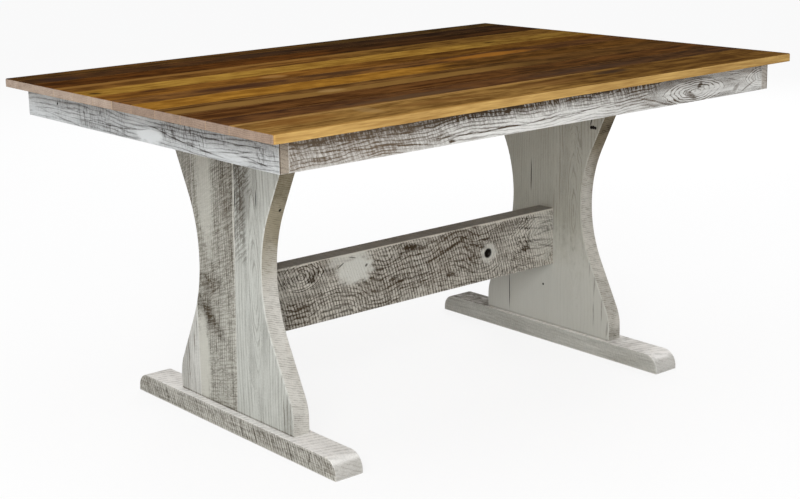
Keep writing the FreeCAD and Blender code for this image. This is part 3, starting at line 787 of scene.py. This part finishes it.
# Painted shade: a dark strip along the bottom of each panel board, where the panel meets its foot.
painted_shade_above_foot = (0.045, 0.0, 0.003, 0.5, 0, 0.5)
far_panel = dict(dark=tone(90, 86, 76), grit=0.8)
# Painted light and shade on the far panel: the pale oval lightens its lower part, where less shade falls
# under the table, and the strip above the foot is painted shade.
far_painted_light_and_shade = dict(pale=[(0.08, 0.0, 0.2, 0.5, 0, 0.6)], pale_tone=tone(198, 198, 192), stains_and_shade=[painted_shade_above_foot])
# edge_width widens the painted highlight, with some wear, along the panels' arrises.
narrow_sides = dict(side_saws=0.4, side_base=0.1, edge_width=0.004)
# Painted shade: the curved edges are darker above side_turn and in the band near the top, where the top
# overhangs them; below they are lighter.
near_curve = dict(
    side=(tone(150, 142, 122), tone(92, 84, 64)),
    side_low=(tone(206, 204, 197), tone(104, 98, 88)),
    side_stains_and_shade=[(0.55, 0.8, 0.42)],
)
# The far curved edges: the same painted shade, darker above side_turn and in the band at 0.57 to 0.6. edge
# and edge_highlight_tone make the painted highlight dimmer here.
far_curve = dict(
    side=(tone(128, 118, 98), tone(62, 54, 40)),
    side_low=(tone(196, 193, 184), tone(92, 86, 74)),
    side_turn=(0.58, 0.38),
    side_stains_and_shade=[(0.57, 0.6, 0.4), (0.045, 0.07, 0.35), (0.1, 0.2, 0.15)],
    edge=0.3,
    edge_highlight_tone=tone(184, 182, 172),
)
panel_boards = {
    "wide_board": (
        dict(
            base=0.09,
            rings=0.36,
            ring_period=0.011,
            ring_wander=0.012,
            knots=[(0.36, -0.098, 0.05, 5.0)],
            saws=0.85,
            saw_period=0.014,
            saw_slant=0.75,
            cloud=0.05,
        ),
        dict(
            light=tone(198, 200, 193),
            dark=tone(80, 76, 68),
            saw_zones=[(0.56, 0.72, -0.095, 0.0, 0.01, 1.0), (0.4, 0.56, -0.07, 0.0, 0.01, 0.9)],
            grit=1.1,
            stains_and_shade=[
                painted_shade_above_foot,
                (0.6, -0.05, 0.12, 0.034, 0, 0.36),
                (0.07, -0.205, 0.06, 0.02, 0, 0.25),
            ],
            arcs=[(0.36, -0.098, 0.2, 0.022, 0, 0.25), (0.38, -0.098, 0.19, 0.014, 0, 0.25)],
            strokes=[(0.6, -0.118, 0.09, 0.0012, 1, 0.6), (0.09, -0.19, 0.04, 0.0012, 0, 0.5)],
            cracks=[
                (0.55, -0.113, 0.021, 0),
                (0.54, -0.0322, 0.022, -2.4),
                (0.468, -0.029, 0.024, -2.4),
                (0.62, -0.0354, 0.03, -2.4),
            ],
            side_holes=[(0.53, -0.486, 0.0036)],
        ),
        dict(
            light=tone(178, 178, 168),
            saw_cover=(0.6, 1.4),
            strokes=[
                (0.19, -0.173, 0.035, 0.0022, -3, 1.1),
                (0.105, -0.169, 0.03, 0.002, -2, 1.0),
                (0.125, -0.198, 0.035, 0.002, -4, 1.1),
                (0.075, -0.215, 0.022, 0.003, -8, 1.1),
                (0.22, -0.155, 0.02, 0.0018, -2, 0.8),
            ],
            holes=[(0.586, -0.157, 0.0042), (0.587, -0.164, 0.0048), (0.586, -0.171, 0.004)],
            cracks=[(0.605, -0.158, 0.016, -20)],
            **far_panel,
            **far_painted_light_and_shade,
        ),
    ),
    "middle_board": (
        dict(
            ring_period=0.0085,
            ring_wander=0.012,
            saw_period=0.0092,
            saw_slant=0.2,
            saw_turn=0.55,
            saw_even=0.4,
        ),
        dict(
            light=tone(198, 197, 187),
            dark=tone(58, 52, 40),
            base=0.22,
            knots=[(0.275, 0.15, 0.085, 1.1)],
            saws=0.75,
            saw_cover=(-1.6, -0.4),
            cloud=0.1,
            grit=1.5,
            pale=[(0.6, 0.09, 0.2, 0.03, 2, 0.7), (0.13, 0.12, 0.12, 0.024, 0, 0.9)],
            stains_and_shade=[
                painted_shade_above_foot,
                (0.328, 0.1, 0.02, 0.06, 0, 0.22),
                (0.265, 0.112, 0.015, 0.05, -32, 0.26),
                (0.255, 0.095, 0.03, 0.06, -32, 0.12),
                (0.22, 0.055, 0.016, 0.05, -32, 0.15),
                (0.6, 0.0, 0.12, 0.035, 0, 0.14),
            ],
            strokes=[(0.55, -0.0275, 0.17, 0.003, -2.4, -0.6), (0.3, -0.0165, 0.1, 0.002, -2.4, -0.3)],
        ),
        dict(
            light=tone(176, 176, 166),
            base=0.09,
            rings=0.15,
            saws=0.2,
            saw_cover=(0.4, 1.4),
            cloud=0.04,
            holes=[(0.148, 0.01, 0.003)],
            cracks=[(0.435, 0.054, 0.04, 0), (0.11, 0.1365, 0.05, 0)],
            **far_panel,
            **far_painted_light_and_shade,
        ),
    ),
    "upper_wing": (
        dict(saw_slant=0.6, grit=1.2),
        dict(light=tone(190, 188, 178), dark=tone(60, 54, 44), base=0.25, saws=0.7),
        dict(light=tone(176, 176, 166), dark=tone(90, 86, 76), base=0.09, saws=0.2),
    ),
    "lower_wing": (
        dict(dark=tone(86, 80, 70), rings=0.25, saws=0.4, saw_cover=(0.4, 1.4), cloud=0.08, grit=1.1),
        dict(
            light=tone(206, 206, 200),
            stains_and_shade=[painted_shade_above_foot, (0.13, 0.2, 0.1, 0.024, 0, 0.25)],
            strokes=[
                (0.12, 0.185, 0.05, 0.0016, 0, 0.6),
                (0.09, 0.165, 0.035, 0.0014, 1, 0.5),
                (0.17, 0.16, 0.03, 0.0018, 0, 0.6),
                (0.21, 0.148, 0.03, 0.0014, 0, 0.5),
            ],
        ),
        dict(light=tone(184, 184, 176), **far_painted_light_and_shade),
    ),
}
foot = (
    dict(
        dark=tone(66, 62, 52),
        rings=0.15,
        saw_period=0.0092,
        saw_slant=-0.4,
        saw_even=0.7,
        saw_cover=(-2.6, 0.2),
        # The top and bottom faces take far lighter tones than the long faces: painted light on the feet's
        # tops, with the dark tone deepened as painted shade for the far foot. edge and edge_width give a
        # broad painted highlight with some wear.
        side=(tone(240, 239, 235), tone(98, 94, 86)),
        side_saw=0.016,
        side_saws=0.25,
        side_base=0.08,
        end=(tone(208, 207, 202), tone(142, 138, 130)),
        edge=0.9,
        edge_width=0.006,
    ),
    dict(
        light=tone(199, 197, 188),
        base=0.13,
        saws=0.95,
        grit=2.0,
        strokes=[
            (-0.05, 0.018, 0.022, 0.003, 73, 0.5),
            (-0.1, 0.022, 0.02, 0.002, 73, 0.4),
            (-0.23, 0.02, 0.022, 0.0028, 73, 0.5),
            (-0.3, 0.022, 0.018, 0.003, 105, 0.35),
            (0.13, 0.022, 0.02, 0.002, 73, 0.35),
            (0.26, 0.02, 0.02, 0.0028, 73, 0.45),
        ],
    ),
    dict(
        light=tone(196, 196, 189),
        base=0.18,
        saws=0.15,
        grit=1.2,
        side_stains_and_shade=[
            # The first band is painted shade on the far foot's top, where the panel shades it.
            (0.21, 0.5, 0.75),
            (-0.24, -0.225, 0.35),
            (-0.285, -0.27, 0.3),
            (-0.33, -0.318, 0.25),
        ],
    ),
)


def dress_trestle(side, own, curve, seed):
    """Dresses a panel and its foot. own is near or far, and curve is the finish of the panel's edges."""
    for board, looks in panel_boards.items():
        finish = {**looks[both], **looks[own], **curve, **narrow_sides}
        dress([f"{side}_panel_{board}"], washed_wood(f"{side}_{board}", "Z", seed=seed, **finish))
        seed += trestle_seed_step
    dress([side + "_foot"], washed_wood(side + "_foot_wash", "Y", seed=seed, **foot[both], **foot[own]))


dress_trestle("left", near, near_curve, 41.0)
dress_trestle("right", far, far_curve, 61.0)

stretcher = dict(
    light=tone(204, 200, 189),
    dark=tone(48, 42, 33),
    base=0.18,
    rings=0.76,
    ring_period=0.0115,
    ring_wander=0.05,
    ring_sway=4.5,
    knots=[(-0.34, 0.33, 0.07, 1.2), (0.43, 0.3, 0.12, 1.3)],
    knot_rings=0.3,
    saws=1.0,
    saw_period=0.00835,
    saw_slant=0.28,
    saw_bend=0.7,
    saw_middle=0.265,
    saw_even=0.85,
    saw_cover=(-2.2, -0.6),
    cloud=0.14,
    grit=1.5,
    pale=[
        (-0.184, 0.318, 0.05, 0.032, 0, 1.0),
        (0.243, 0.28, 0.024, 0.024, 0, 0.6),
        (-0.2, 0.35, 0.06, 0.02, 0, 0.5),
        (0.44, 0.3, 0.05, 0.07, 0, 0.3),
    ],
    pale_tone=tone(201, 203, 197),
    stains_and_shade=[
        (-0.012, 0.342, 0.016, 0.007, 0, 0.4),
        (0.373, 0.27, 0.014, 0.007, 0, 0.6),
        (-0.312, 0.318, 0.012, 0.008, 0, 0.5),
        (0.45, 0.31, 0.02, 0.008, 0, 0.3),
        (0.41, 0.285, 0.11, 0.12, 0, -0.12),
    ],
    strokes=[
        # The first stroke, a light line along the whole top arris, is a painted highlight with some wear.
        (0.0, 0.3575, 2.0, 0.0026, 0, -0.9),
        (0.41, 0.343, 0.05, 0.0026, -8, 0.45),
        (0.455, 0.327, 0.025, 0.0026, 7, 0.5),
        (0.395, 0.318, 0.06, 0.0026, -12, 0.4),
        (0.44, 0.3, 0.035, 0.0028, 6, 0.5),
        (0.405, 0.284, 0.055, 0.003, -7, 0.5),
        (0.45, 0.262, 0.035, 0.0028, -14, 0.5),
        (0.1, 0.31, 0.06, 0.003, 16, 0.5),
        (0.14, 0.325, 0.04, 0.0025, 20, 0.4),
        (0.04, 0.297, 0.05, 0.0025, 10, 0.4),
    ],
    marks=[
        (-0.15, 0.322, 0.004, 0.003, 30),
        (-0.226, 0.334, 0.011, 0.0016, 30),
        (-0.19, 0.347, 0.01, 0.0012, -12),
    ],
    holes=[(0.241, 0.28, 0.0125)],
    # The top and bottom faces take these dark tones: painted shade from the table top above.
    side=(tone(166, 167, 164), tone(76, 75, 71)),
    warmth=0.35,
)
dress(["stretcher"], washed_wood("washed_stretcher", "X", seed=95.0, **stretcher))

# ---------------------------------------------------------------- finishes of the hidden pieces
head_cleats = ["left_head_cleat", "right_head_cleat"]
cross_battens = ["left_batten", "right_batten"]
long_battens = ["front_batten", "back_batten"]
corner_blocks = [f"corner_block_{end}_{side}" for end in ("front", "back") for side in ("left", "right")]
pins = ["plank_dowels", "panel_dowels", "apron_dowels", "foot_loose_tenons", "head_loose_tenons"]
batten_tones = (tone(190, 162, 120), tone(142, 110, 72))
hidden_pieces = (
    (head_cleats, "bare_cleat", "Y", (tone(186, 158, 116), tone(136, 104, 66)), 3.0),
    (cross_battens, "bare_cross_batten", "Y", batten_tones, 4.0),
    (long_battens, "bare_long_batten", "X", batten_tones, 5.0),
    (corner_blocks, "bare_corner_block", "Z", (tone(188, 160, 118), tone(138, 106, 68)), 6.0),
    (pins, "beech", "Y", (tone(214, 180, 138), tone(186, 148, 106)), 7.0),
)
for nodes, name, grain, (light, dark), seed in hidden_pieces:
    dress(nodes, bare_wood(name, grain, light, dark, seed))
dress([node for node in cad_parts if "screw" in node or "washer" in node], zinc_plate("zinc"))

# ---------------------------------------------------------------- finishes of the top
ash_dark = tone(58, 44, 34)
top_planks = [
    dict(
        light=tone(152, 116, 62),
        dark=tone(98, 68, 32),
        far=(tone(120, 87, 42), tone(76, 50, 24)),
        strips=[(-0.402, -0.393, 0.6, tone(168, 130, 76)), (-0.533, -0.522, 0.5, tone(160, 122, 64))],
        patches=[
            (0.24, -0.43, 0.05, 0.02, 0.8, ash_dark),
            (-0.47, -0.44, 0.02, 0.04, 0.5, tone(150, 120, 76)),
            (-0.64, -0.44, 0.1, 0.03, 0.6, tone(116, 76, 34)),
            (-0.3, -0.46, 0.12, 0.02, 0.55, tone(112, 76, 38)),
            (0.02, -0.45, 0.1, 0.025, 0.55, tone(106, 72, 38)),
        ],
    ),
    dict(
        light=tone(100, 66, 36),
        dark=tone(60, 38, 24),
        far=(tone(94, 64, 37), tone(56, 39, 26)),
        patches=[
            (-0.3, -0.37, 0.16, 0.02, 0.6, tone(84, 66, 48)),
            (0.25, -0.36, 0.2, 0.02, 0.6, tone(64, 48, 38)),
        ],
    ),
    dict(light=tone(104, 68, 34), dark=tone(64, 38, 18), far=(tone(100, 65, 32), tone(58, 38, 21))),
    dict(
        light=tone(118, 84, 44),
        dark=tone(74, 48, 22),
        far=(tone(102, 70, 35), tone(64, 43, 22)),
        strips=[(-0.214, -0.168, 0.65, tone(136, 102, 52))],
        patches=[(-0.36, -0.185, 0.03, 0.02, 0.6, tone(160, 128, 80))],
    ),
    dict(
        light=tone(164, 118, 46),
        dark=tone(120, 80, 28),
        far=(tone(106, 71, 32), tone(66, 43, 19)),
        turn=(-0.02, 0.12),
    ),
    dict(
        light=tone(126, 86, 42),
        dark=tone(76, 50, 28),
        far=(tone(100, 66, 34), tone(62, 40, 24)),
        patches=[
            (-0.46, 0.01, 0.14, 0.022, 0.85, tone(60, 38, 28)),
            (-0.18, 0.015, 0.09, 0.02, 0.85, tone(62, 42, 28)),
            (0.25, -0.008, 0.13, 0.024, 0.85, tone(152, 100, 38)),
        ],
    ),
    dict(
        light=tone(136, 92, 38),
        dark=tone(92, 58, 24),
        far=(tone(114, 78, 32), tone(72, 44, 18)),
        patches=[
            (-0.62, 0.105, 0.04, 0.014, 0.8, tone(62, 38, 22)),
            (-0.32, 0.083, 0.03, 0.02, 0.6, tone(158, 118, 66)),
        ],
    ),
    dict(
        light=tone(166, 128, 56),
        dark=tone(124, 88, 34),
        far=(tone(140, 108, 48), tone(96, 66, 26)),
        turn=(0.2, 0.45),
        patches=[
            (-0.735, 0.16, 0.014, 0.012, 0.9, tone(50, 34, 18)),
            (0.445, 0.18, 0.018, 0.008, 0.9, tone(54, 36, 18)),
        ],
    ),
    dict(
        light=tone(128, 88, 40),
        dark=tone(84, 54, 24),
        far=(tone(126, 92, 42), tone(78, 52, 22)),
        strips=[(0.268, 0.292, 0.55, tone(146, 106, 54))],
    ),
    dict(light=tone(96, 58, 24), dark=tone(56, 33, 15), far=(tone(72, 46, 24), tone(40, 26, 15))),
    dict(
        light=tone(86, 56, 30),
        dark=tone(50, 34, 22),
        far=(tone(68, 46, 27), tone(38, 26, 18)),
        patches=[
            (-0.68, 0.42, 0.05, 0.03, 0.7, tone(52, 38, 32)),
            (-0.12, 0.44, 0.09, 0.03, 0.7, tone(52, 38, 28)),
        ],
    ),
    dict(light=tone(94, 64, 31), dark=tone(54, 37, 19), far=(tone(82, 60, 31), tone(46, 33, 18))),
]
front_end_tones = (tone(166, 146, 130), tone(116, 98, 84))
back_end_tones = (tone(190, 172, 156), tone(136, 118, 104))
plank_seed_step = 3.7
for number, tones in enumerate(top_planks, start=1):
    node = f"top_plank_{number:02d}"
    ends = front_end_tones if number <= len(top_planks) / 2 else back_end_tones
    dress([node], varnished_plank("varnish_" + node, ends=ends, seed=plank_seed_step * number, **tones))


# ---------------------------------------------------------------- floor and light
floor_size = 40.0
floor_gap = 0.0002
floor_tone = tone(240, 240, 240)
floor_glow = 0.85
backdrop_tone = tone(255, 255, 255)
room_tone = tone(250, 250, 252)
room_heights = (0.4, 0.7)
room_strengths = (0.08, 1.1)
lamp_size = 2.5
lamp_target = Vector((0, 0, 0.4))


def backdrop_rays(tree):
    """1 for rays from the camera or off or through something shiny, which see the backdrop as plain white."""
    seen = tree.nodes.new("ShaderNodeLightPath")
    either = tree.nodes.new("ShaderNodeMath")
    either.operation = "MAXIMUM"
    tree.links.new(seen.outputs["Is Camera Ray"], either.inputs[0])
    tree.links.new(seen.outputs["Is Glossy Ray"], either.inputs[1])
    share = tree.nodes.new("ShaderNodeMath")
    share.operation = "MAXIMUM"
    tree.links.new(either.outputs[0], share.inputs[0])
    tree.links.new(seen.outputs["Is Transmission Ray"], share.inputs[1])
    return share.outputs[0]


def make_floor():
    """A pale floor just under the feet that keeps a faint shadow."""
    mesh = bpy.data.meshes.new("floor")
    half = floor_size / 2
    level = cad_low.z - floor_gap
    corners = [(-half, -half, level), (half, -half, level), (half, half, level), (-half, half, level)]
    mesh.from_pydata(corners, [], [(0, 1, 2, 3)])
    floor = bpy.data.objects.new("floor", mesh)
    bpy.context.scene.collection.objects.link(floor)
    graph = Graph("floor_white")
    paint = graph.node("ShaderNodeBsdfDiffuse")
    paint.inputs["Color"].default_value = floor_tone
    glow = graph.node("ShaderNodeEmission")
    glow.inputs["Color"].default_value = backdrop_tone
    glow.inputs["Strength"].default_value = 1.0
    blend = graph.node("ShaderNodeMixShader")
    graph.feed(blend.inputs[0], Signal(graph, backdrop_rays(graph.tree)) * floor_glow)
    graph.feed(blend.inputs[1], paint.outputs[0])
    graph.feed(blend.inputs[2], glow.outputs[0])
    output = graph.node("ShaderNodeOutputMaterial")
    graph.feed(output.inputs["Surface"], blend.outputs[0])
    mesh.materials.append(graph.material)


def make_world():
    """A studio that is bright overhead and dim at eye level, with a white backdrop."""
    world = bpy.data.worlds.new("studio")
    bpy.context.scene.world = world
    world.use_nodes = True
    tree = world.node_tree
    tree.nodes.clear()
    place = tree.nodes.new("ShaderNodeTexCoord")
    ways = tree.nodes.new("ShaderNodeSeparateXYZ")
    tree.links.new(place.outputs["Generated"], ways.inputs[0])
    height = tree.nodes.new("ShaderNodeMapRange")
    height.interpolation_type = "SMOOTHSTEP"
    height.inputs["From Min"].default_value, height.inputs["From Max"].default_value = room_heights
    height.inputs["To Min"].default_value, height.inputs["To Max"].default_value = room_strengths
    tree.links.new(ways.outputs[2], height.inputs["Value"])
    room = tree.nodes.new("ShaderNodeBackground")
    room.inputs["Color"].default_value = room_tone
    tree.links.new(height.outputs["Result"], room.inputs["Strength"])
    white = tree.nodes.new("ShaderNodeBackground")
    white.inputs["Color"].default_value = backdrop_tone
    white.inputs["Strength"].default_value = 1.0
    choice = tree.nodes.new("ShaderNodeMixShader")
    output = tree.nodes.new("ShaderNodeOutputWorld")
    tree.links.new(backdrop_rays(tree), choice.inputs[0])
    tree.links.new(room.outputs[0], choice.inputs[1])
    tree.links.new(white.outputs[0], choice.inputs[2])
    tree.links.new(choice.outputs[0], output.inputs["Surface"])


def make_lamp(name, place, watts):
    """A square soft lamp that faces the table and doesn't show in anything shiny."""
    lamp = bpy.data.objects.new(name, bpy.data.lights.new(name, "AREA"))
    lamp.data.size = lamp_size
    lamp.data.energy = watts
    lamp.location = place
    lamp.visible_glossy = False
    lamp.rotation_euler = (lamp_target - Vector(place)).to_track_quat("-Z", "Y").to_euler()
    bpy.context.scene.collection.objects.link(lamp)


make_floor()
make_world()
make_lamp("key", (-3.0, -3.0, 2.0), 138)
make_lamp("fill", (3.2, 3.0, 2.2), 62)
bpy.context.scene.view_settings.view_transform = "Standard"
